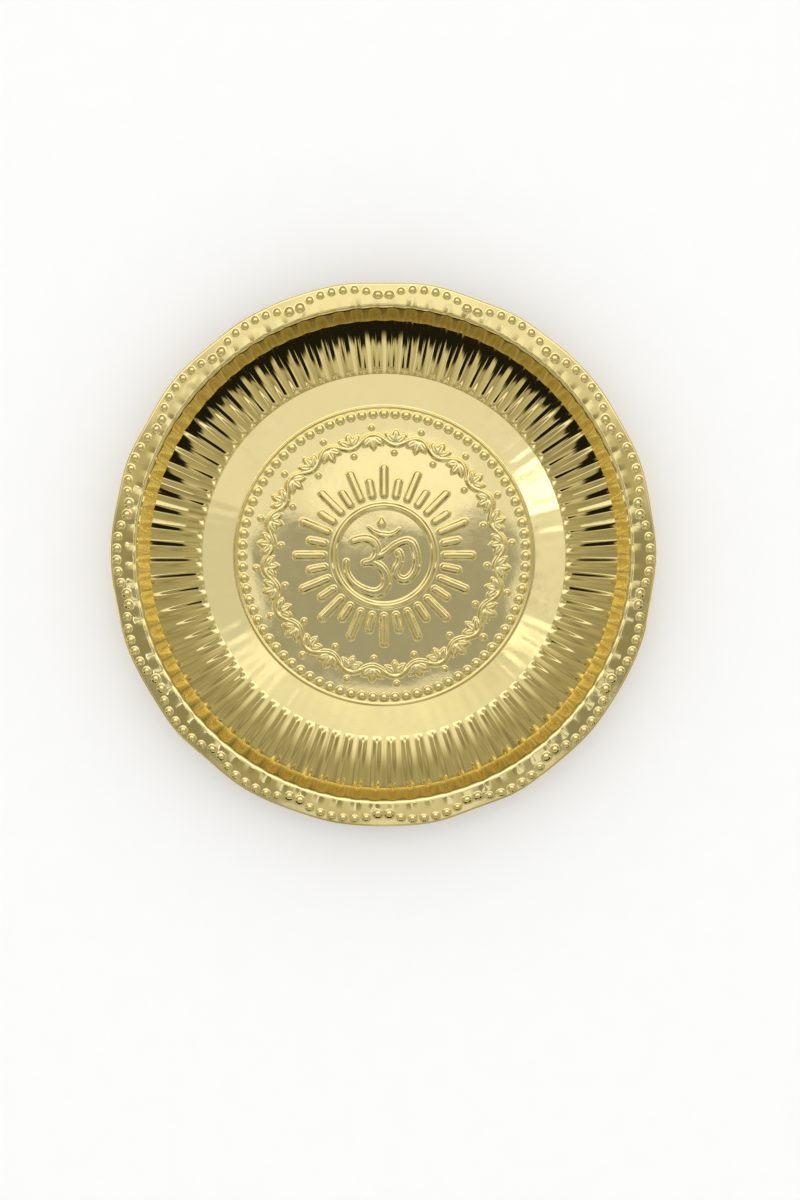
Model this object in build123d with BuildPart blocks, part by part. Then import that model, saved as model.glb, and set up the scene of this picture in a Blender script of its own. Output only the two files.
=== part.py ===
"""A pressed brass puja thali, 170 mm across.

The real plate is one sheet of brass, drawn to a dish and embossed in a die. It is divided
here along its own creases and border lines, so each zone of the sheet is a solid that meets
its neighbours face to face. Raised work is hollow underneath, as in pressed sheet.
"""

import os
from math import asin, atan, cos, degrees, hypot, pi, radians, sin, tan

from build123d import *

os.makedirs("parts", exist_ok=True)

# Sheet and rim
sheet = 0.5               # thickness of the brass
edge_radius = 85.0        # outside of the rolled edge
rim_height = 18.0         # table to the top of the rim
curl_inside = 0.2         # inside radius of the rolled edge
rim_width = 6.3           # flat of the rim, lip to rolled edge
lip_inside = 1.5          # inside radius of the bend from the collar to the rim
collar_slope = 50.0       # degrees from level

# Garland of beads on the rim
swag_count = 18
swag_beads = 8            # beads in one swag, the two at its ends large
garland_bead = 2.5        # diameter of a small bead
garland_bead_height = 0.6
node_bead = 3.0           # diameter of a large bead
node_bead_height = 0.75
garland_drop = 3.2        # how far the swags hang in between their crests and ends
garland_margin = 0.1      # outermost beads to the rolled edge

# Fluted wall
wall_height = 13.4        # table to the top of the flutes
wall_run = 15.2           # plan width of the wall
wall_bow = 0.8            # how far the wall hangs below its chord
flute_count = 84
flute_width = 3.4
flute_depth = 0.9
# Levels of the wall: share of its rise, share of the flutes' depth there
flute_levels = [(0.0, 0.0), (0.08, 0.8), (0.2, 1.0), (0.5, 0.8), (0.8, 0.4), (1.0, 0.0)]

# Floor: the plain ring rises by this much on its way out to the wall
floor_rise = 1.45

# Medallion with its border ring
medallion_radius = 17.7
border_width = 2.4
border_height = 0.6
border_margin = 0.4       # border ring to the edge of the medallion

# Om sign, drawn about the middle of the medallion
om_stroke = 2.8
om_height = 0.55
om_upper_bowl = [(-9.8, 4.6), (-5.6, 5.3), (-2.3, 2.4), (-6.2, -2.4)]
om_upper_heading = (1, 0.45)
om_lower_bowl = [(-6.2, -2.4), (-1.9, -3.1), (0.8, -7.3), (-4.0, -12.0), (-10.0, -8.7), (-12.1, -1.9)]
om_lower_heading = (2, 0.6)
om_limb = [(-2.0, -0.4), (2.0, 2.0), (6.6, 4.5), (9.5, 3.0), (10.5, -0.9)]
om_limb_heading = (1, 0.35)
om_tail = [(10.5, -0.9), (7.9, -7.3), (4.3, -3.6), (4.6, 1.0)]
om_tail_heading = (0.14, -1)
om_crescent = [(-4.9, 9.0), (0.2, 6.4), (4.9, 8.4)]
om_crescent_width = 2.0
om_dot = 3.0
om_dot_place = (-0.8, 10.6)

# Sun rays
ray_pairs = 16            # one long and one short ray in each pair
long_ray = 11.2
short_ray = 7.2
ray_width = 2.8
ray_height = 0.6
ray_foot_gap = 0.5        # edge of the medallion to the foot of the rays
ray_tip_gap = 1.9         # tips of the long rays to the leaf band

# Leaf band
leaf_band_width = 11.8
vine_waves = 16
vine_swing = 1.6          # how far the vine swings from the middle of its band
vine_width = 1.8
spray_foot = 1.2          # foot of a spray of leaves from the middle of the band
spray_leaves = 3
spray_fan = 46.0          # degrees from the middle leaf of a spray to the leaves beside it
leaf_length = 4.8
leaf_width = 2.8
bud = 2.0                 # diameter of the buds outside the bends
bud_reach = 4.0
leaf_height = 0.55

# Ring of beads and the ridge around it
bead_band_width = 5.4
bead_inset = 2.4          # edge of the band to the bead centres
bead_count = 80
bead = 3.0
bead_height = 0.7
ridge_width = 1.1
ridge_height = 0.3
ridge_margin = 0.2        # ridge to the outer edge of its band

# Side wall of the raised work, from its outline on top to its hollow underneath
relief_wall = 0.35

# Places that follow from these sizes
ray_band_edge = medallion_radius + ray_foot_gap + long_ray + ray_tip_gap
leaf_band_edge = ray_band_edge + leaf_band_width
leaf_band_middle = ray_band_edge + leaf_band_width / 2
bead_band_edge = leaf_band_edge + bead_band_width
curl_radius = curl_inside + sheet
lip_radius = lip_inside + sheet
rim_edge = edge_radius - curl_radius
rim_start = rim_edge - rim_width
collar_top_radius = rim_start - lip_radius * sin(radians(collar_slope))
collar_top_height = rim_height - lip_radius * (1 - cos(radians(collar_slope)))
collar_rise = collar_top_height - wall_height
collar_radius = collar_top_radius - collar_rise / tan(radians(collar_slope))
floor_radius = collar_radius - wall_run
floor_height = sheet + floor_rise
wall_rise = wall_height - floor_height
wall_chord = hypot(wall_run, wall_rise)
garland_crest = rim_edge - garland_margin - garland_bead / 2
border_crest = medallion_radius - border_margin - border_width / 2
ridge_crest = bead_band_edge - ridge_margin - ridge_width / 2
bead_circle = leaf_band_edge + bead_inset


def on_circle(radius, angle, centre=(0, 0)):
    """Point on a circle about a centre, with the angle in radians."""
    return (centre[0] + radius * cos(angle), centre[1] + radius * sin(angle))


def wall_point(share):
    """Radius, height and level thickness of the wall, a share of the way up its inside."""
    hang = 4 * wall_bow * share * (1 - share)
    slope = atan(wall_rise / wall_run) - atan(4 * wall_bow * (1 - 2 * share) / wall_chord)
    radius = floor_radius + share * wall_run + hang * wall_rise / wall_chord
    height = floor_height + share * wall_rise - hang * wall_run / wall_chord
    return radius, height, sheet / sin(slope)


def fluted_outline(radius, height, depth, width):
    """Arcs of a closed line round the wall, with each flute pushed outwards by its depth."""
    pitch = 2 * pi / flute_count
    half = asin(width / 2 / radius)
    arcs = []
    for number in range(flute_count):
        middle = (number + 0.5) * pitch
        flute_start = (*on_circle(radius, middle - half), height)
        flute_bed = (*on_circle(radius + depth, middle), height)
        flute_end = (*on_circle(radius, middle + half), height)
        land_middle = (*on_circle(radius, middle + pitch / 2), height)
        next_start = (*on_circle(radius, middle + pitch - half), height)
        arcs.append(ThreePointArc(flute_start, flute_bed, flute_end))
        arcs.append(ThreePointArc(flute_end, land_middle, next_start))
    return arcs


def ridged_sheet(inner, outer, crest, width, height):
    """Section of a level ring of sheet with one half-round ridge pressed up in it."""
    with BuildSketch() as section:
        with BuildLine():
            Line((inner, 0), (crest - width / 2, 0))
            ThreePointArc((crest - width / 2, 0), (crest, height), (crest + width / 2, 0))
            Polyline(
                (crest + width / 2, 0), (outer, 0), (outer, sheet), (crest + width / 2, sheet)
            )
            ThreePointArc(
                (crest + width / 2, sheet), (crest, sheet + height), (crest - width / 2, sheet)
            )
            Polyline((crest - width / 2, sheet), (inner, sheet), (inner, 0))
        make_face()
    return section.sketch


def bead_cap(diameter, height):
    """Cap of a bead, standing on the level plane with a short root below it."""
    root = sheet / 2
    with BuildPart() as cap:
        with BuildSketch(Plane.XZ):
            with BuildLine():
                Polyline((0, height), (0, -root), (diameter / 2, -root), (diameter / 2, 0))
                TangentArc((0, height), (diameter / 2, 0), tangent=(1, 0))
            make_face()
        revolve(axis=Axis.Z)
    return cap.part


def pen_line(points, heading):
    """Smooth line of tangent arcs through the points."""
    with BuildLine() as line:
        for start, end in zip(points, points[1:]):
            arc = TangentArc(start, end, tangent=heading)
            heading = arc % 1
    return line.wire()


def om_sign(wall):
    """The Om sign: four brush strokes, a crescent and a dot, drawn in by the wall."""
    strokes = [
        pen_line(om_upper_bowl, om_upper_heading),
        pen_line(om_lower_bowl, om_lower_heading),
        pen_line(om_limb, om_limb_heading),
        pen_line(om_tail, om_tail_heading),
    ]
    crescent = ThreePointArc(*om_crescent)
    with BuildSketch() as sign:
        for stroke in strokes:
            SlotArc(stroke, om_stroke - 2 * wall)
        SlotArc(crescent, om_crescent_width - 2 * wall)
        with Locations(om_dot_place):
            Circle(om_dot / 2 - wall)
    return sign.sketch


def sun_rays(wall):
    """Long and short rays in turn, with round ends, drawn in by the wall."""
    foot = medallion_radius + ray_foot_gap
    with BuildSketch() as rays:
        for length, first in ((long_ray, 0), (short_ray, 180 / ray_pairs)):
            with PolarLocations(foot + length / 2, ray_pairs, start_angle=first):
                SlotOverall(length - 2 * wall, ray_width - 2 * wall)
    return rays.sketch


def leaf_spray(wall):
    """Pointed leaves fanned out from one foot, drawn in by the wall."""
    tip = leaf_length / 2 - wall
    belly = leaf_width / 2 - wall
    with BuildSketch() as blade:
        with BuildLine():
            ThreePointArc((-tip, 0), (0, belly), (tip, 0))
            ThreePointArc((tip, 0), (0, -belly), (-tip, 0))
        make_face()
    with BuildSketch() as spray:
        for number in range(spray_leaves):
            turn = spray_fan * (number - (spray_leaves - 1) / 2)
            with PolarLocations(leaf_length / 2, 1, start_angle=turn):
                add(blade.sketch)
    return spray.sketch


def vine_bend(side, first):
    """Half a wave of the vine, outwards or inwards from the middle of its band."""
    quarter = pi / 2 / vine_waves
    with BuildLine() as bend:
        ThreePointArc(
            on_circle(leaf_band_middle, first),
            on_circle(leaf_band_middle + side * vine_swing, first + quarter),
            on_circle(leaf_band_middle, first + 2 * quarter),
        )
    return bend.wire()


def leaf_scroll(wall):
    """A waving vine with a spray of leaves and a bud in each bend, drawn in by the wall."""
    spray = leaf_spray(wall)
    half_wave = pi / vine_waves
    bends = [(1, 0), (-1, half_wave)]
    lines = [vine_bend(side, first) for side, first in bends]
    with BuildSketch() as scroll:
        for line in lines:
            with PolarLocations(0, vine_waves):
                SlotArc(line, vine_width - 2 * wall)
        for side, first in bends:
            in_bend = degrees(first + half_wave / 2)
            inwards = 180 if side > 0 else 0
            with PolarLocations(leaf_band_middle + side * spray_foot, vine_waves, start_angle=in_bend):
                add(spray, rotation=inwards)
            with PolarLocations(leaf_band_middle + side * bud_reach, vine_waves, start_angle=in_bend):
                Circle(bud / 2 - wall)
    return scroll.sketch


# Om medallion: a level disc with a round border ring and the raised sign
om_raised = om_sign(0)
om_hollow = om_sign(relief_wall)
medallion_section = ridged_sheet(0, medallion_radius, border_crest, border_width, border_height)
with BuildPart() as om_medallion:
    with BuildSketch(Plane.XZ):
        add(medallion_section)
    revolve(axis=Axis.Z)
    with BuildSketch(Plane.XY.offset(sheet)):
        add(om_raised)
    extrude(amount=om_height)
    with BuildSketch(Plane.XY):
        add(om_hollow)
    extrude(amount=om_height, mode=Mode.SUBTRACT)
om_medallion.part.label = "om_medallion"
export_step(om_medallion.part, "parts/om_medallion.step")

# Sun ray band: a level ring with long and short rays raised in it
rays_raised = sun_rays(0)
rays_hollow = sun_rays(relief_wall)
with BuildPart() as sun_ray_band:
    with BuildSketch(Plane.XY):
        Circle(ray_band_edge)
        Circle(medallion_radius, mode=Mode.SUBTRACT)
    extrude(amount=sheet)
    with BuildSketch(Plane.XY.offset(sheet)):
        add(rays_raised)
    extrude(amount=ray_height)
    with BuildSketch(Plane.XY):
        add(rays_hollow)
    extrude(amount=ray_height, mode=Mode.SUBTRACT)
sun_ray_band.part.label = "sun_ray_band"
export_step(sun_ray_band.part, "parts/sun_ray_band.step")

# Leaf band: a level ring with a leaf scroll raised in it
scroll_raised = leaf_scroll(0)
scroll_hollow = leaf_scroll(relief_wall)
with BuildPart() as leaf_band:
    with BuildSketch(Plane.XY):
        Circle(leaf_band_edge)
        Circle(ray_band_edge, mode=Mode.SUBTRACT)
    extrude(amount=sheet)
    with BuildSketch(Plane.XY.offset(sheet)):
        add(scroll_raised)
    extrude(amount=leaf_height)
    with BuildSketch(Plane.XY):
        add(scroll_hollow)
    extrude(amount=leaf_height, mode=Mode.SUBTRACT)
leaf_band.part.label = "leaf_band"
export_step(leaf_band.part, "parts/leaf_band.step")

# Bead ring: a level ring with a row of beads and a fine ridge around them
floor_bead = bead_cap(bead, bead_height)
ridge_section = ridged_sheet(leaf_band_edge, bead_band_edge, ridge_crest, ridge_width, ridge_height)
with BuildPart() as bead_ring:
    with BuildSketch(Plane.XZ):
        add(ridge_section)
    revolve(axis=Axis.Z)
    with Locations((0, 0, sheet)):
        with PolarLocations(bead_circle, bead_count):
            add(floor_bead)
    with PolarLocations(bead_circle, bead_count):
        add(floor_bead, mode=Mode.SUBTRACT)
bead_ring.part.label = "bead_ring"
export_step(bead_ring.part, "parts/bead_ring.step")

# Floor ring: the plain, slightly dished ring between the beads and the wall
_, _, foot_thickness = wall_point(0)
with BuildPart() as floor_ring:
    with BuildSketch(Plane.XZ):
        with BuildLine():
            Polyline(
                (bead_band_edge, 0),
                (floor_radius, floor_rise),
                (floor_radius + foot_thickness, floor_height),
                (floor_radius, floor_height),
                (bead_band_edge, sheet),
                close=True,
            )
        make_face()
    revolve(axis=Axis.Z)
floor_ring.part.label = "floor_ring"
export_step(floor_ring.part, "parts/floor_ring.step")

# Fluted wall: the rising wall, with flutes that are deepest near its foot
outlines_over = []
outlines_under = []
for wall_share, depth_share in flute_levels:
    radius, height, thickness = wall_point(wall_share)
    depth = depth_share * flute_depth
    outlines_over.append(fluted_outline(radius, height, depth, flute_width))
    outlines_under.append(fluted_outline(radius + thickness, height, depth, flute_width + sheet))
wall_skin = []
for outlines in (outlines_over, outlines_under):
    for lower, upper in zip(outlines, outlines[1:]):
        for low_arc, high_arc in zip(lower, upper):
            wall_skin.append(Face.make_surface_from_curves(low_arc, high_arc))
for end in (0, -1):
    wall_skin.append(Face(Wire(outlines_under[end]), [Wire(outlines_over[end])]))
with BuildPart() as fluted_wall:
    add(Solid(Shell(wall_skin)))
fluted_wall.part.label = "fluted_wall"
export_step(fluted_wall.part, "parts/fluted_wall.step")

# Collar: the steep smooth band above the flutes, bent over at the lip
_, _, top_thickness = wall_point(1)
lip_centre = (rim_start, rim_height - lip_radius)
lip_turns = [radians(90), radians(90 + collar_slope / 2), radians(90 + collar_slope)]
lip_over = [on_circle(lip_radius, turn, lip_centre) for turn in lip_turns]
lip_under = [on_circle(lip_inside, turn, lip_centre) for turn in lip_turns]
with BuildPart() as collar:
    with BuildSketch(Plane.XZ):
        with BuildLine():
            ThreePointArc(*lip_over)
            Polyline(
                lip_over[-1],
                (collar_radius, wall_height),
                (collar_radius + top_thickness, wall_height),
                lip_under[-1],
            )
            ThreePointArc(*lip_under)
            Line(lip_under[0], lip_over[0])
        make_face()
    revolve(axis=Axis.Z)
collar.part.label = "collar"
export_step(collar.part, "parts/collar.step")

# Beaded rim: the flat rim with its garland of beads, large ones where two swags meet
small_places = []
node_places = []
for swag in range(swag_count):
    for number in range(swag_beads):
        along = (number + 0.5) / swag_beads
        hang = garland_drop * abs(2 * along - 1) ** 3
        angle = 2 * pi / swag_count * (swag + along - 0.5)
        at_end = number in (0, swag_beads - 1)
        places = node_places if at_end else small_places
        places.append(on_circle(garland_crest - hang, angle))
small_cap = bead_cap(garland_bead, garland_bead_height)
node_cap = bead_cap(node_bead, node_bead_height)
with BuildPart() as beaded_rim:
    with BuildSketch(Plane.XY.offset(rim_height - sheet)):
        Circle(rim_edge)
        Circle(rim_start, mode=Mode.SUBTRACT)
    extrude(amount=sheet)
    for cap, places in ((small_cap, small_places), (node_cap, node_places)):
        with Locations((0, 0, rim_height)):
            with Locations(*places):
                add(cap)
        with Locations((0, 0, rim_height - sheet)):
            with Locations(*places):
                add(cap, mode=Mode.SUBTRACT)
beaded_rim.part.label = "beaded_rim"
export_step(beaded_rim.part, "parts/beaded_rim.step")

# Rolled edge: the margin of the sheet, turned down and under by half a turn
curl_centre = (rim_edge, rim_height - curl_radius)
curl_turns = [radians(90), 0, radians(-90)]
curl_over = [on_circle(curl_radius, turn, curl_centre) for turn in curl_turns]
curl_under = [on_circle(curl_inside, turn, curl_centre) for turn in curl_turns]
with BuildPart() as rolled_edge:
    with BuildSketch(Plane.XZ):
        with BuildLine():
            ThreePointArc(*curl_over)
            ThreePointArc(*curl_under)
            Line(curl_over[0], curl_under[0])
            Line(curl_over[-1], curl_under[-1])
        make_face()
    revolve(axis=Axis.Z)
rolled_edge.part.label = "rolled_edge"
export_step(rolled_edge.part, "parts/rolled_edge.step")
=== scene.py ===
from math import atan, atan2, cos, hypot, pi, radians, sin

import bmesh
import bpy
import numpy as np
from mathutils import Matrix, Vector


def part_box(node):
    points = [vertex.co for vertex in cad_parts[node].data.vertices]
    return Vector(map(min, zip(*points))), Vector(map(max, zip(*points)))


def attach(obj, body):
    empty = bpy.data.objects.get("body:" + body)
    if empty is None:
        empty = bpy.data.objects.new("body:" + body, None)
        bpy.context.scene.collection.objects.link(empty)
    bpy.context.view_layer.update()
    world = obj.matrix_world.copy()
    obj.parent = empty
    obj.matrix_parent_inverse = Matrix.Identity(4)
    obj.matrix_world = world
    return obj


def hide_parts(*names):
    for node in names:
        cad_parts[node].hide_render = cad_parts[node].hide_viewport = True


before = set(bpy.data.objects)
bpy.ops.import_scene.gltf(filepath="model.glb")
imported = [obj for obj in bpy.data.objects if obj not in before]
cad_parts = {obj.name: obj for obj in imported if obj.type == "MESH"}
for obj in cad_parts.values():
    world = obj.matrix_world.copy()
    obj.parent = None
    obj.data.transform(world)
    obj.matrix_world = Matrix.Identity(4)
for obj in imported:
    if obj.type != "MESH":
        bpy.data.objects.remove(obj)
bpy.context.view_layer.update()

# Om medallion: the middle of the plate, a level disc with a round border and the raised Om.
# Brass sheet half a millimetre thick, pressed up from below in a die, so it is hollow underneath.
# It is one piece with the bands around it.
MM = 0.001                       # every size of the plate is in millimetres
sheet = 0.5
medallion_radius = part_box("om_medallion")[1][0] / MM
border_width = 2.6
border_height = 0.6
border_crest = 16.1
om_height = 0.55
om_shoulder = 0.95               # how wide the rounded side of a raised stroke is
om_strokes = [                   # heading, half widths at the start, middle and end, points
    ((1, 0.45), (1.4, 1.5, 1.3), [(-9.8, 4.6), (-5.6, 5.3), (-2.3, 2.4), (-6.2, -2.4)]),
    ((2, 0.6), (1.3, 1.75, 1.0), [(-6.2, -2.4), (-1.9, -3.1), (0.8, -7.3), (-4.0, -12.0), (-10.0, -8.7),
                                  (-12.1, -1.9)]),
    ((1, 0.35), (1.3, 1.4, 1.3), [(-2.0, -0.4), (2.0, 2.0), (6.6, 4.5), (9.5, 3.0), (10.5, -0.9),
                                  (7.9, -7.3), (4.3, -3.6), (4.6, 1.0)]),
    ((1, -1.1), (0.7, 1.2, 0.7), [(-4.9, 9.0), (0.2, 6.4), (4.9, 8.4)]),
    ((0, 1), (1.5, 1.0, 0.5), [(-0.8, 10.2), (-0.8, 12.2)]),
]
arc_points = 40                  # points drawn along each arc of a stroke
floor_wave = 0.07                # height of the slow waves that the floor keeps from the press
floor_waves = [                  # direction to the right and up, length, start
    (1, 0, 6.1, 0.6),
    (0, 1, 7.3, 2.2),
    (1, 1, 5.2, 4.0),
    (1, -1.4, 9.0, 1.3),
]
wave_end = 40                    # radius where they begin to die out, and how wide that takes
wave_blend = 18
streak = 0.005                   # height of the fine streaks drawn across the plain ring of the floor
streaks = [(37, 1), (61, 2.3), (84, 0.4)]     # count round the plate, start
streak_ring = (47, 56)           # radii where the streaks begin and where they begin to die out
streak_blend = 6
rim_sag = 0.16                   # how far the rim sags between its high places
sag_start = 77
sag_blend = 6
swag_count = 18
swag_pull = 0.2                  # how far the outline is drawn in where two swags of the garland meet
pull_waves = [(0.11, 5, 1), (0.06, 11, 2.4)]  # how much the pull differs, count round the plate, start
swag_start = 79
swag_blend = 5
lower_rows = 3                   # the hidden underside has one row of points for so many above
crease = radians(75)             # a sharper bend than this keeps its edge


def rise(inside, width):
    """Smooth step up from 0 at an outline to 1 at the given width inside it."""
    share = np.clip(inside / width, 0, 1)
    return share * share * (3 - 2 * share)


def bump(distance, half):
    """Rounded ridge, 1 at its crest and 0 at half its width."""
    return np.cos(np.clip(distance / half, -1, 1) * pi / 2) ** 2


def dome(distance, radius):
    """Rounded bead with a crisp foot, 1 at its crown."""
    return np.clip(1 - (distance / radius) ** 2, 0, 1)


def uneven(radius, turn):
    """Small height error of hand-fed sheet: the floor lies in slow waves, the rim rises and falls."""
    x = radius * np.cos(turn)
    y = radius * np.sin(turn)
    slow = sum(np.sin((right * x + up * y) / length + start) for right, up, length, start in floor_waves)
    on_floor = floor_wave * (1 + slow / len(floor_waves)) * (1 - rise(radius - wave_end, wave_blend))
    fine = sum(np.sin(count * turn + start) for count, start in streaks)
    in_ring = rise(radius - streak_ring[0], streak_blend) * (1 - rise(radius - streak_ring[1], streak_blend))
    on_floor = on_floor + streak * fine * in_ring
    sag = 1 + np.sin(3 * turn + 0.7) / 2 + np.sin(swag_count * turn + 1.9) / 2
    return on_floor - rim_sag * sag * rise(radius - sag_start, sag_blend)


def drawn_in(radius, turn):
    """How far the rim is drawn in where two swags of its garland meet, more in some places."""
    pull = swag_pull + sum(more * np.sin(count * turn + start) for more, count, start in pull_waves)
    return pull * (1 - np.cos(swag_count * turn)) * rise(radius - swag_start, swag_blend)


def press(name, line, columns, relief, cuts):
    """One zone of the sheet as a closed skin: a line of (radius, height) turned about the axis.

    relief(radius, turn) raises the sheet square to its face, and cuts gives the slopes, in radians,
    to which the sheet is square at the inner and outer end of the zone.
    """
    line = np.array(line, dtype=float)
    step = np.gradient(line, axis=0)
    slope = np.unwrap(np.arctan2(step[:, 1], step[:, 0]))
    slope[0], slope[-1] = cuts
    turn = 2 * pi * np.arange(columns)[None, :] / columns
    every_row = np.arange(len(line))
    some_rows = np.unique(np.append(every_row[::lower_rows], every_row[-1]))
    points = []
    faces = []
    starts = []
    for rows, depth, flip in ((every_row, 0, False), (some_rows, sheet, True)):
        radius = line[rows, 0][:, None]
        lift = relief(radius, turn) - depth
        out = radius - np.sin(slope[rows])[:, None] * lift - drawn_in(radius, turn)
        up = line[rows, 1][:, None] + np.cos(slope[rows])[:, None] * lift + uneven(radius, turn)
        grid = np.stack([out * np.cos(turn), out * np.sin(turn), up + 0 * turn], axis=-1)
        first = sum(len(p) for p in points)
        index = first + np.arange(len(rows) * columns).reshape(len(rows), columns)
        points.append(grid.reshape(-1, 3))
        starts.append(index)
        ahead = np.roll(index, -1, axis=1)
        quads = np.stack([index[:-1], index[1:], ahead[1:], ahead[:-1]], axis=-1).reshape(-1, 4)
        faces.append(quads[:, ::-1] if flip else quads)
    upper, lower = starts
    outer = [upper[-1], lower[-1], np.roll(lower[-1], -1), np.roll(upper[-1], -1)]
    faces.append(np.stack(outer, axis=-1))
    if line[0, 0] > 0:
        inner = [upper[0], np.roll(upper[0], -1), np.roll(lower[0], -1), lower[0]]
        faces.append(np.stack(inner, axis=-1))
    mesh = bpy.data.meshes.new(name)
    mesh.from_pydata((np.concatenate(points) * MM).tolist(), [], np.concatenate(faces).tolist())
    if line[0, 0] == 0:
        work = bmesh.new()
        work.from_mesh(mesh)
        bmesh.ops.remove_doubles(work, verts=work.verts, dist=1e-6 * MM)
        work.to_mesh(mesh)
        work.free()
    mesh.shade_smooth()
    mesh.set_sharp_from_angle(angle=crease)
    zone = bpy.data.objects.new(name, mesh)
    bpy.context.collection.objects.link(zone)
    return zone


def pen_line(points, heading):
    """Points along a chain of tangent arcs, as a pen would draw it."""
    angle = atan2(heading[1], heading[0])
    drawn = []
    for start, end in zip(points, points[1:]):
        chord = hypot(end[0] - start[0], end[1] - start[1])
        swing = atan2(end[1] - start[1], end[0] - start[0]) - angle
        swing = atan2(sin(swing), cos(swing))
        for share in np.linspace(0, 1, arc_points):
            reach = chord * (sin(share * swing) / sin(swing) if abs(swing) > 1e-6 else share)
            drawn.append((start[0] + reach * cos(angle + share * swing),
                          start[1] + reach * sin(angle + share * swing)))
        angle += 2 * swing
    return np.array(drawn)


def medallion_relief(radius, turn):
    """Raised Om and the round border of the medallion."""
    x = radius * np.cos(turn)
    y = radius * np.sin(turn)
    sign = np.zeros_like(x)
    for heading, halves, points in om_strokes:
        drawn = pen_line(points, heading)
        widths = np.interp(np.linspace(0, 1, len(drawn)), (0, 0.5, 1), halves)
        inside = np.full_like(x, -medallion_radius)
        for (at_x, at_y), half in zip(drawn, widths):
            inside = np.maximum(inside, half - np.hypot(x - at_x, y - at_y))
        sign = np.maximum(sign, om_height * rise(inside, om_shoulder))
    return np.maximum(sign, border_height * bump(radius - border_crest, border_width / 2))


def linear(hex_colour):
    """Linear colour, with alpha, of an sRGB hex value."""
    parts = [int(hex_colour[i:i + 2], 16) / 255 for i in (1, 3, 5)]
    return [p / 12.92 if p <= 0.04045 else ((p + 0.055) / 1.055) ** 2.4 for p in parts] + [1]


def node(tree, kind, settings=(), links=()):
    """Adds a node, sets its properties and inputs by name or number, and links outputs to its inputs."""
    new = tree.nodes.new(kind)
    for key, value in dict(settings).items():
        if isinstance(key, str) and hasattr(new, key):
            setattr(new, key, value)
        else:
            new.inputs[key].default_value = value
    for key, (source, output) in dict(links).items():
        tree.links.new(source.outputs[output], new.inputs[key])
    return new


# Polished brass sheet: a clear yellow mirror that is a little soft all over. The rolled sheet keeps a
# slight ripple, cloths leave fine hairlines, and handling dulls it in patches and in the hollows. The steep
# collar carries a painted reflection of the plate's own brass: a deeper yellow in front and, less, behind,
# none at the sides.
brass_light = linear("#F5E3A1")
brass_deep = linear("#EFDB96")
brass_dull = linear("#B79C5C")
# Painted reflection: the deeper yellow mixed into the collar in front and, less, behind.
painted_collar_reflection = linear("#998752")
patch_size = 16 * MM
smear_size = 5 * MM
ripple_size = 2.4 * MM
ripple_height = 0.006 * MM
hairline_length = 5 * MM         # the hairlines are drawn coarser than real ones, so that they show
hairline_thinness = 18
hairline_height = 0.002 * MM
# The painted reflection on the collar lies between these heights, towards the front and the back.
collar_reflection_from = (12.4 * MM, 14.6 * MM)     # the collar's tone fades in from the wall
collar_reflection_to = (17.7 * MM, 17.2 * MM)       # and ends under the lip
collar_reflection_front = (-10 * MM, -65 * MM)      # it comes in towards the front
collar_reflection_back = (30 * MM, 76 * MM)         # and, less, towards the back
pressed_brass = bpy.data.materials.new("polished_brass_sheet")
pressed_brass.use_nodes = True
tree = pressed_brass.node_tree
tree.nodes.clear()
place = node(tree, "ShaderNodeTexCoord")
patches = node(tree, "ShaderNodeTexNoise", {"Scale": 1 / patch_size, "Detail": 3.0},
               {"Vector": (place, "Object")})
tone = node(tree, "ShaderNodeMix", {"data_type": "RGBA", 6: brass_light, 7: brass_deep},
            {0: (patches, "Fac")})
surface = node(tree, "ShaderNodeNewGeometry")
hollows = node(tree, "ShaderNodeMapRange", {"From Min": 0.49, "From Max": 0.42, "To Max": 0.4},
               {"Value": (surface, "Pointiness")})
tarnish = node(tree, "ShaderNodeMix", {"data_type": "RGBA", 7: brass_dull},
               {0: (hollows, "Result"), 6: (tone, 2)})
spot = node(tree, "ShaderNodeSeparateXYZ", (), {0: (place, "Object")})
above_wall = node(tree, "ShaderNodeMapRange", {"interpolation_type": "SMOOTHSTEP", "From Min": collar_reflection_from[0],
                                               "From Max": collar_reflection_from[1]}, {"Value": (spot, "Z")})
below_lip = node(tree, "ShaderNodeMapRange", {"interpolation_type": "SMOOTHSTEP", "From Min": collar_reflection_to[0],
                                              "From Max": collar_reflection_to[1]}, {"Value": (spot, "Z")})
# Painted reflection on the collar: its band between wall and lip, towards the front and, less, the back.
collar_band = node(tree, "ShaderNodeMath", {"operation": "MULTIPLY"},
               {0: (above_wall, "Result"), 1: (below_lip, "Result")})
front_share = node(tree, "ShaderNodeMapRange", {"From Min": collar_reflection_front[0], "From Max": collar_reflection_front[1]},
                   {"Value": (spot, "Y")})
back_share = node(tree, "ShaderNodeMapRange",
                  {"From Min": collar_reflection_back[0], "From Max": collar_reflection_back[1], "To Max": 0.7}, {"Value": (spot, "Y")})
front_and_back = node(tree, "ShaderNodeMath", {"operation": "ADD"},
              {0: (front_share, "Result"), 1: (back_share, "Result")})
reflection_share = node(tree, "ShaderNodeMath", {"operation": "MULTIPLY"}, {0: (collar_band, 0), 1: (front_and_back, 0)})
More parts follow.
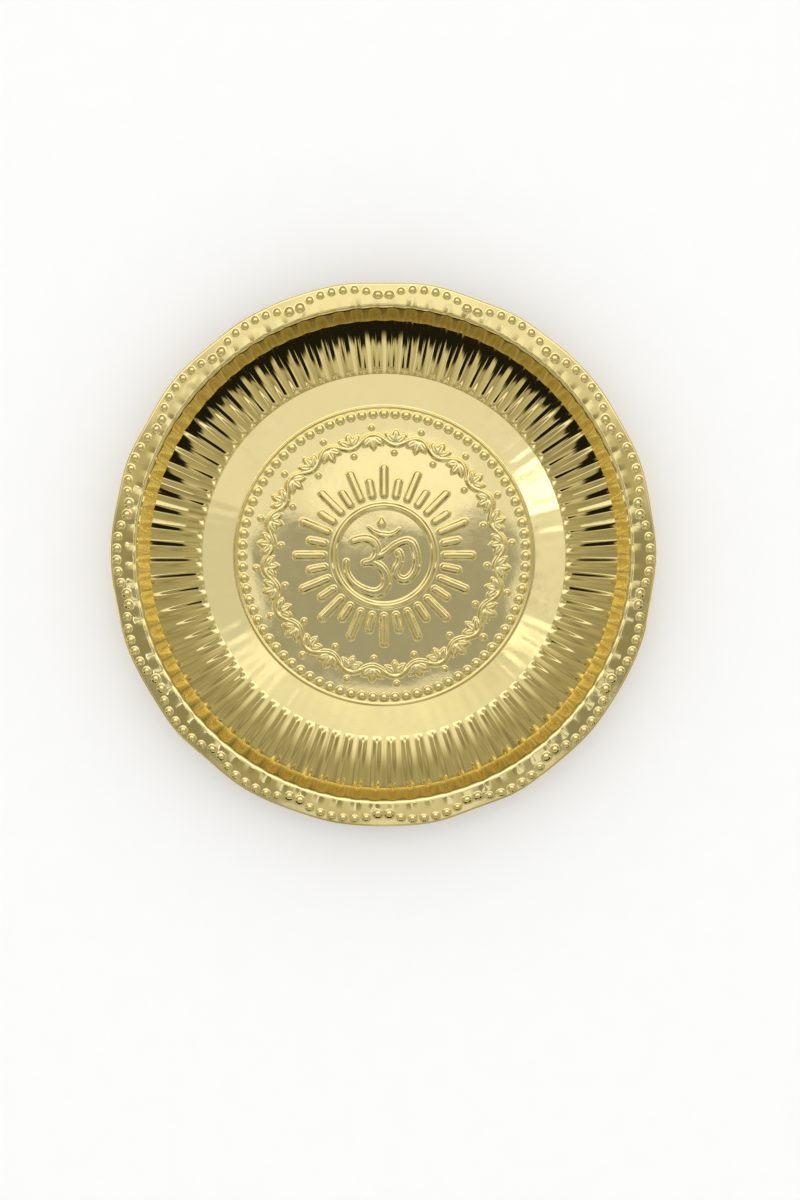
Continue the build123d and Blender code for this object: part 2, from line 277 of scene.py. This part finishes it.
# Mixes the painted reflection into the brass colour on the collar.
with_painted_reflection = node(tree, "ShaderNodeMix", {"data_type": "RGBA", 7: painted_collar_reflection}, {0: (reflection_share, 0), 6: (tarnish, 2)})
smears = node(tree, "ShaderNodeTexNoise", {"Scale": 1 / smear_size, "Detail": 4.0, "Roughness": 0.6},
              {"Vector": (place, "Object")})
gloss = node(tree, "ShaderNodeMapRange", {"From Min": 0.3, "From Max": 0.75, "To Min": 0.03, "To Max": 0.09},
             {"Value": (smears, "Fac")})
ripple = node(tree, "ShaderNodeTexNoise", {"Scale": 1 / ripple_size, "Detail": 2.0},
              {"Vector": (place, "Object")})
ripple_bump = node(tree, "ShaderNodeBump", {"Strength": 1.0, "Distance": ripple_height},
                   {"Height": (ripple, "Fac")})
wiped = node(tree, "ShaderNodeMapping", {"Rotation": (0, 0, radians(28)), "Scale": (1, hairline_thinness, 1)},
             {"Vector": (place, "Object")})
hairlines = node(tree, "ShaderNodeTexNoise", {"Scale": 1 / hairline_length, "Detail": 5.0, "Roughness": 0.7},
                 {"Vector": (wiped, "Vector")})
hairline_bump = node(tree, "ShaderNodeBump", {"Strength": 0.5, "Distance": hairline_height},
                     {"Height": (hairlines, "Fac"), "Normal": (ripple_bump, "Normal")})
metal = node(tree, "ShaderNodeBsdfPrincipled", {"Metallic": 1.0},
             {"Base Color": (with_painted_reflection, 2), "Roughness": (gloss, "Result"), "Normal": (hairline_bump, "Normal")})
node(tree, "ShaderNodeOutputMaterial", (), {"Surface": (metal, "BSDF")})

medallion_line = [(r, sheet) for r in np.linspace(0, medallion_radius, 72)]
medallion = press("om_medallion_sheet", medallion_line, columns=384, relief=medallion_relief, cuts=(0, 0))
medallion.data.materials.append(pressed_brass)
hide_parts("om_medallion")
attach(medallion, "root")

# Sun ray band: a level ring around the medallion with long and short rays raised in turn.
# The same sheet, pressed up in the same die; the rays are bars with round ends and flat tops.
ray_band_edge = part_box("sun_ray_band")[1][0] / MM
ray_pairs = 16
ray_foot = medallion_radius + 0.5
ray_half = 1.4
ray_height = 0.6
ray_shoulder = 0.9
ray_tips = (ray_foot + 11.2, ray_foot + 7.2)


def ray_relief(radius, turn):
    """Long and short rays in turn."""
    raised = 0
    for number, tip in enumerate(ray_tips):
        spacing = 2 * pi / ray_pairs
        aside = (turn - number * spacing / 2 + spacing / 2) % spacing - spacing / 2
        along = radius * np.cos(aside)
        across = radius * np.sin(aside)
        past = np.maximum(np.maximum(ray_foot + ray_half - along, along - tip + ray_half), 0)
        inside = ray_half - np.hypot(past, across)
        raised = np.maximum(raised, ray_height * rise(inside, ray_shoulder))
    return raised


ray_line = [(r, sheet) for r in np.linspace(medallion_radius, ray_band_edge, 50)]
ray_band = press("sun_ray_band_sheet", ray_line, columns=640, relief=ray_relief, cuts=(0, 0))
ray_band.data.materials.append(pressed_brass)
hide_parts("sun_ray_band")
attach(ray_band, "root")

# Leaf band: a level ring with a waving vine, and a spray of leaves and a bud in each of its bends.
# The same sheet, pressed up in the same die, with a vein sunk along each leaf.
leaf_band_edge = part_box("leaf_band")[1][0] / MM
leaf_band_middle = (ray_band_edge + leaf_band_edge) / 2
vine_waves = 16
vine_swing = 1.6
vine_half = 0.9
spray_foot = 1.2                 # foot of a spray, from the middle of the band
spray_turns = [radians(a) for a in (-46, 0, 46)]
leaf_half = 2.4
leaf_belly = 1.4
bud_radius = 1.0
bud_reach = 4.0
leaf_height = 0.55
leaf_shoulder = 0.75
vein_half = 0.22
vein_depth = 0.15


def leaf_relief(radius, turn):
    """Vine with three veined leaves and a bud at each of its bends."""
    wave = 2 * pi / vine_waves
    phase = vine_waves * turn
    middle = leaf_band_middle + vine_swing * np.sin(phase)
    lean = vine_swing * vine_waves / leaf_band_middle * np.cos(phase)
    off_vine = np.abs(radius - middle) / np.sqrt(1 + lean ** 2)
    raised = leaf_height * rise(vine_half - off_vine, leaf_shoulder)
    for side, bend in ((1, wave / 4), (-1, 3 * wave / 4)):
        aside = (turn - bend + wave / 2) % wave - wave / 2
        across = radius * np.sin(aside)
        along = radius * np.cos(aside) - leaf_band_middle
        for spray_turn in spray_turns:
            out = -side * (along - side * spray_foot)
            leaf_along = (out * cos(spray_turn) + across * sin(spray_turn)) / leaf_half - 1
            leaf_across = across * cos(spray_turn) - out * sin(spray_turn)
            belly = leaf_belly * np.clip(1 - leaf_along ** 2, 0, 1)
            vein = vein_depth * bump(leaf_across, vein_half) * rise(belly - 0.3, 0.5)
            leaf = leaf_height * rise(belly - np.abs(leaf_across), leaf_shoulder) - vein
            raised = np.maximum(raised, leaf)
        bud = leaf_height * dome(np.hypot(along - side * bud_reach, across), bud_radius)
        raised = np.maximum(raised, bud)
    return raised


leaf_line = [(r, sheet) for r in np.linspace(ray_band_edge, leaf_band_edge, 48)]
leaf_band = press("leaf_band_sheet", leaf_line, columns=960, relief=leaf_relief, cuts=(0, 0))
leaf_band.data.materials.append(pressed_brass)
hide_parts("leaf_band")
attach(leaf_band, "root")

# Bead ring: a row of round beads with a fine ridge outside it, the border of the decorated floor.
# The same sheet, pressed up in the same die.
bead_band_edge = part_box("bead_ring")[1][0] / MM
bead_count = 80
bead_circle = leaf_band_edge + 2.4
bead_radius = 1.5
bead_height = 0.7
ridge_half = 0.55
ridge_height = 0.3
ridge_crest = bead_band_edge - 0.8


def bead_relief(radius, turn):
    """Row of beads and the ridge outside it."""
    spacing = 2 * pi / bead_count
    aside = (turn + spacing / 2) % spacing - spacing / 2
    off_bead = np.hypot(radius * np.cos(aside) - bead_circle, radius * np.sin(aside))
    ridge = ridge_height * bump(radius - ridge_crest, ridge_half)
    return np.maximum(bead_height * dome(off_bead, bead_radius), ridge)


bead_line = [(r, sheet) for r in np.linspace(leaf_band_edge, bead_band_edge, 26)]
bead_ring = press("bead_ring_sheet", bead_line, columns=1120, relief=bead_relief, cuts=(0, 0))
bead_ring.data.materials.append(pressed_brass)
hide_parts("bead_ring")
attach(bead_ring, "root")

# Floor ring: the plain polished ring between the beads and the wall, rising slightly outwards.
# The same sheet, left smooth by the die and bent up at its outer edge.
floor_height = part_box("floor_ring")[1][2] / MM
floor_radius = 58.01
floor_slope = atan((floor_height - sheet) / (floor_radius - bead_band_edge))
wall_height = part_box("fluted_wall")[1][2] / MM
wall_run = 15.2
wall_bow = 0.8                   # how far the wall hangs below a straight line
wall_rise = wall_height - floor_height
wall_chord = hypot(wall_run, wall_rise)
wall_lean = atan(wall_rise / wall_run)
wall_turn = atan(4 * wall_bow / wall_chord)
foot_cut = (floor_slope + wall_lean - wall_turn) / 2


def plain(radius, turn):
    """Sheet that the die leaves smooth."""
    return 0 * radius * turn


floor_line = [(bead_band_edge + s * (floor_radius - bead_band_edge), sheet + s * (floor_height - sheet))
              for s in np.linspace(0, 1, 16)]
floor_ring = press("floor_ring_sheet", floor_line, columns=504, relief=plain, cuts=(0, foot_cut))
floor_ring.data.materials.append(pressed_brass)
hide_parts("floor_ring")
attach(floor_ring, "root")

# Fluted wall: the rising wall with 84 flutes, narrow at the bed, that start at its foot with round ends.
# The same sheet, drawn up by the die; the flutes grow shallower on their way up.
flute_count = 84
flute_half_depth = 0.375
flute_start = 0.12               # share of the wall in which a flute gets its depth
flute_loss = 0.55                # share of that depth that it loses on its way up
flute_pressure = np.random.default_rng(7).uniform(-1, 1, flute_count)
flute_spread = (0.1, 0.6)        # how much the depth differs between flutes, on the wall and at the rim
land_half = 0.3                  # shares of the way from the middle of a land to the bed of a flute
shoulder = 0.16
bed_half = 0.1
land_crown = 0.2                 # lean of the land beside that of the flank
flute_share = np.linspace(0, 1, 101)
flute_lean = np.maximum(land_crown * flute_share, rise(flute_share - land_half, shoulder))
flute_lean = flute_lean * (1 - rise(flute_share - (1 - bed_half), bed_half))
flute_fall = np.cumsum(flute_lean) / flute_lean.sum()
rim_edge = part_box("beaded_rim")[1][0] / MM
rim_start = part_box("collar")[1][0] / MM
rim_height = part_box("collar")[1][2] / MM
collar_slope = radians(50)
collar_cut = (wall_lean + wall_turn + collar_slope) / 2
collar_radius = floor_radius + wall_run
ripple_radii = (collar_radius, collar_radius + 1.2, rim_start - 1.2, rim_start, rim_start + 2.5)
ripple_shares = (0.45, 0.4, 0.22, 0.2, 0.0)


def flutes(radius, turn):
    """Flutes, narrow in the groove and broad on the land, from the foot of the wall to the rim."""
    phase = flute_count * turn
    number = np.floor(phase / (2 * pi)).astype(int) % flute_count
    spread = np.interp(radius, (collar_radius, rim_start), flute_spread)
    wander = 1 + spread * flute_pressure[number]
    share = np.abs((phase / pi + 1) % 2 - 1)
    section = -2 * np.interp(share, flute_share, flute_fall)
    up_wall = np.clip((radius - floor_radius) / wall_run, 0, 1)
    on_wall = rise(up_wall, flute_start) * (1 - flute_loss * up_wall)
    past_wall = np.interp(radius, ripple_radii, ripple_shares)
    strength = np.where(radius < collar_radius, on_wall, past_wall)
    return flute_half_depth * wander * strength * section


wall_line = []
foot_crowding = 1.2              # rows lie closer at the foot, where the flutes begin
for s in np.linspace(0, 1, 42) ** foot_crowding:
    hang = 4 * wall_bow * s * (1 - s)
    wall_line.append((floor_radius + s * wall_run + hang * wall_rise / wall_chord,
                      floor_height + s * wall_rise - hang * wall_run / wall_chord))
fluted_wall = press("fluted_wall_sheet", wall_line, columns=1176, relief=flutes, cuts=(foot_cut, collar_cut))
fluted_wall.data.materials.append(pressed_brass)
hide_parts("fluted_wall")
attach(fluted_wall, "root")

# Collar: the steep band above the flutes, bent over at the lip into the rim.
# The same sheet; the flutes run on in it as faint ripples.
lip_radius = 2.0
lip_line = [(rim_start + lip_radius * cos(t), rim_height - lip_radius + lip_radius * sin(t))
            for t in np.linspace(pi / 2 + collar_slope, pi / 2, 15)]
lip_foot, lip_foot_height = lip_line[0]
collar_line = [(collar_radius + s * (lip_foot - collar_radius),
                wall_height + s * (lip_foot_height - wall_height)) for s in np.linspace(0, 1, 13)[:-1]]
collar = press("collar_sheet", collar_line + lip_line, columns=1008, relief=flutes, cuts=(collar_cut, 0))
collar.data.materials.append(pressed_brass)
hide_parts("collar")
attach(collar, "root")

# Beaded rim: the flat rim with a garland of beads in 18 swags, two large beads where swags meet.
# The same sheet, pressed up in the same die and left a little rippled by the lip.
swag_beads = 8
garland_crest = rim_edge - 1.3
garland_drop = 3.2
small_bead = (1.25, 0.6)         # radius and height
large_bead = (1.55, 0.75)


def rim_relief(radius, turn):
    """Garland of beads, with the last of the flutes' ripples beside the lip."""
    swag = 2 * pi / swag_count
    raised = 0
    for number in range(swag_beads):
        along = (number + 0.5) / swag_beads
        bead_at = garland_crest - garland_drop * abs(2 * along - 1) ** 3
        size, height = large_bead if number in (0, swag_beads - 1) else small_bead
        aside = (turn - swag * (along - 0.5) + swag / 2) % swag - swag / 2
        off_bead = np.hypot(radius * np.cos(aside) - bead_at, radius * np.sin(aside))
        raised = np.maximum(raised, height * dome(off_bead, size))
    return raised + flutes(radius, turn)


rim_line = [(r, rim_height) for r in np.linspace(rim_start, rim_edge, 30)]
rim = press("beaded_rim_sheet", rim_line, columns=1872, relief=rim_relief, cuts=(0, 0))
rim.data.materials.append(pressed_brass)
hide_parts("beaded_rim")
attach(rim, "root")

# Rolled edge: the margin of the sheet, turned down and under by half a turn so it isn't sharp.
# The same sheet, curled round in a seaming tool.
curl_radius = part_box("rolled_edge")[1][0] / MM - rim_edge
curl_line = [(rim_edge + curl_radius * cos(t), rim_height - curl_radius + curl_radius * sin(t))
             for t in np.linspace(pi / 2, -pi / 2, 21)]
rolled_edge = press("rolled_edge_sheet", curl_line, columns=576, relief=plain, cuts=(0, -pi))
rolled_edge.data.materials.append(pressed_brass)
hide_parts("rolled_edge")
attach(rolled_edge, "root")

# Table: a plain white sheet under the plate, large enough to run out of every view.
# Matt paper with a faint mottle.
table_half = 12.0                # metres
mottle_size = 9 * MM
paper = bpy.data.materials.new("matt_white_paper")
paper.use_nodes = True
tree = paper.node_tree
tree.nodes.clear()
place = node(tree, "ShaderNodeTexCoord")
mottle = node(tree, "ShaderNodeTexNoise", {"Scale": 1 / mottle_size, "Detail": 3.0},
              {"Vector": (place, "Object")})
white = node(tree, "ShaderNodeMix", {"data_type": "RGBA", 6: linear("#FDFDFC"), 7: linear("#FAFAF9")},
             {0: (mottle, "Fac")})
matt = node(tree, "ShaderNodeBsdfPrincipled", {"Roughness": 0.9}, {"Base Color": (white, 2)})
node(tree, "ShaderNodeOutputMaterial", (), {"Surface": (matt, "BSDF")})
table_mesh = bpy.data.meshes.new("table")
table_mesh.from_pydata([(-table_half, -table_half, 0), (table_half, -table_half, 0),
                        (table_half, table_half, 0), (-table_half, table_half, 0)], [], [(0, 1, 2, 3)])
table = bpy.data.objects.new("table", table_mesh)
bpy.context.collection.objects.link(table)
table.data.materials.append(paper)

# Studio: an even white room, a soft box overhead, and a grey cloth tent that only polished metal sees.
# The tent hangs in soft folds, lighter behind the plate, with a bright band high up and an open top.
# Low in its south side is the dark front where the camera's stand is.
room = bpy.data.worlds.new("white_room")
room.use_nodes = True
room.node_tree.nodes["Background"].inputs["Color"].default_value = (1, 1, 1, 1)
room.node_tree.nodes["Background"].inputs["Strength"].default_value = 0.93
bpy.context.scene.world = room

box_light = bpy.data.lights.new("soft_box", "AREA")
box_light.shape = "RECTANGLE"
box_light.size = 1.1
box_light.size_y = 0.75
box_light.energy = 2.9
box_back = 0.36                  # metres behind the plate and above it
box_up = 1.8
soft_box = bpy.data.objects.new("soft_box", box_light)
soft_box.location = (0.0, box_back, box_up)
soft_box.rotation_euler = (-atan(box_back / box_up), 0, 0)
bpy.context.collection.objects.link(soft_box)

tent_radius = 1.4                # metres
tent_edge = -5                   # degrees up from the table, like the next four
mid_foot = 16
band_foot = 42
top_foot = 66
open_top = 79
open_tone = 0.9
front_tone = 0.012
slit_tone = 1.1                  # a bright slit in the cloth beside the dark front
slit = (78, 83)                  # degrees round from the south, where it lies
slit_top = 30
folds = [(8, 0.5), (13, 1.7), (21, 3.1)]      # count round the tent, start
# Near the top hang the camera, dark from below, and pieces of cloth that catch more or less light.
cloth_patches = [                # middle to the east and north, half width, half length, tone
    (-0.01, -0.015, 0.11, 0.065, 0.39),
    (0.0, 0.085, 0.055, 0.028, 1.1),
    (0.15, 0.044, 0.03, 0.06, 0.74),
    (-0.159, -0.038, 0.018, 0.022, 2.2),
    (0.118, 0.137, 0.02, 0.02, 1.2),
    (-0.159, 0.11, 0.02, 0.018, 1.4),
]


def hung_over(cloth_tone, next_tone, share):
    """Tone of a cloth where another hangs over it by a share."""
    return cloth_tone + (next_tone - cloth_tone) * share


heights = np.radians(np.concatenate([np.linspace(tent_edge, 78, 84), np.linspace(78.25, 90, 48)]))[:, None]
rounds = np.radians(np.arange(0, 360, 1.5))[None, :]
east = np.cos(heights) * np.cos(rounds)
north = np.cos(heights) * np.sin(rounds)
above = np.sin(heights) + 0 * rounds
high = np.degrees(heights) + 0 * rounds
level = np.hypot(east, north) + 1e-9
sideways = (east / level) ** 2
lengthways = 1 - sideways
from_south = np.degrees(np.arccos(np.clip(-north / level, -1, 1)))

# Tones of the cloth from the table up: its foot, its middle, the bright band and the top. Each hangs over
# the one below it with an edge that is soft over some degrees.
low_tone = np.where(north > 0, 0.39, 0.72 - 0.36 * sideways)
mid_tone = 0.42 + np.where(north > 0, 0.56 * lengthways ** 0.86, 0.3 * lengthways ** 3)
band_tone = np.interp(from_south, (0, 40, 60, 100, 130, 180), (0.4, 0.4, 0.65, 0.65, 1.6, 1.6))
top_tone = 0.305 + np.where(north > 0, 0.745 * lengthways ** 0.75, 0.415 * lengthways ** 4)
tent_tone = hung_over(low_tone, mid_tone, rise(high - mid_foot, 20))
tent_tone = tent_tone * (1 + 0.1 * sum(np.sin(count * rounds + start) for count, start in folds))
tent_tone = hung_over(tent_tone, band_tone, rise(high - band_foot, 3))
tent_tone = hung_over(tent_tone, top_tone, rise(high - top_foot, 4))
tent_tone = hung_over(tent_tone, open_tone, rise(high - open_top, 0.8))
in_slit = (from_south >= slit[0]) & (from_south < slit[1]) & (high < slit_top)
tent_tone = np.where(in_slit, slit_tone, tent_tone)
# Outline of the dark front: how high it reaches, and how soft its edge is, at angles from the south.
front_top = np.interp(from_south, (0, 5, 12, 20, 27, 33, 40, 44, 48, 54, 62, 70, 78),
                      (18, 18.5, 23, 22, 17, 13, 13, 15.5, 18.5, 18.5, 15, 9, -3))
front_haze = np.interp(from_south, (0, 8, 15, 45), (5, 4, 3, 2))
tent_tone = hung_over(tent_tone, front_tone, 1 - rise(high - front_top + front_haze, 2 * front_haze))
# Darker cloth is warmer in colour, and what comes through the open top is cooler.
warm = (1 - rise(tent_tone - 0.45, 0.4)) * (1 - rise(high - 75, 4))
cool = rise(high - open_top, 0.8)
for patch_east, patch_north, half_width, half_length, patch_tone in cloth_patches:
    inside = (np.abs(east - patch_east) < half_width) & (np.abs(north - patch_north) < half_length)
    tent_tone = np.where(inside & (high > 60), patch_tone, tent_tone)
green = tent_tone * (1 - 0.05 * warm + 0.02 * cool)
blue = tent_tone * (1 - 0.3 * warm + 0.1 * cool)
cloth = np.stack([tent_tone, green, blue, 0 * tent_tone + 1], axis=-1)

order = np.arange(heights.size * rounds.size).reshape(-1, rounds.size)
ahead = np.roll(order, -1, axis=1)
panes = np.stack([order[:-1], order[1:], ahead[1:], ahead[:-1]], axis=-1).reshape(-1, 4)
corners = tent_radius * np.stack([east, north, above], axis=-1).reshape(-1, 3)
tent_mesh = bpy.data.meshes.new("light_tent")
tent_mesh.from_pydata(corners.tolist(), [], panes.tolist())
tent_mesh.color_attributes.new("cloth", "FLOAT_COLOR", "POINT").data.foreach_set("color", cloth.ravel())
tent_cloth = bpy.data.materials.new("lit_tent_cloth")
tent_cloth.use_nodes = True
tree = tent_cloth.node_tree
tree.nodes.clear()
lit = node(tree, "ShaderNodeAttribute", {"attribute_name": "cloth"})
glow = node(tree, "ShaderNodeEmission", {"Strength": 1.0}, {"Color": (lit, "Color")})
node(tree, "ShaderNodeOutputMaterial", (), {"Surface": (glow, "Emission")})
tent = bpy.data.objects.new("light_tent", tent_mesh)
bpy.context.collection.objects.link(tent)
tent.data.materials.append(tent_cloth)
tent.visible_camera = False
tent.visible_diffuse = False
tent.visible_shadow = False
tent.visible_transmission = False

# Camera: straight above the plate, a little towards the viewer, as in the photograph.
camera_data = bpy.data.cameras.new("camera")
camera_data.sensor_fit = "VERTICAL"
camera_data.sensor_height = 36
camera_data.lens = 53.1
camera_data.clip_start = 0.01
camera = bpy.data.objects.new("camera", camera_data)
camera.location = (0.0051, -0.0143, 0.568)
bpy.context.collection.objects.link(camera)
bpy.context.scene.camera = camera
bpy.context.scene.view_settings.view_transform = "Standard"
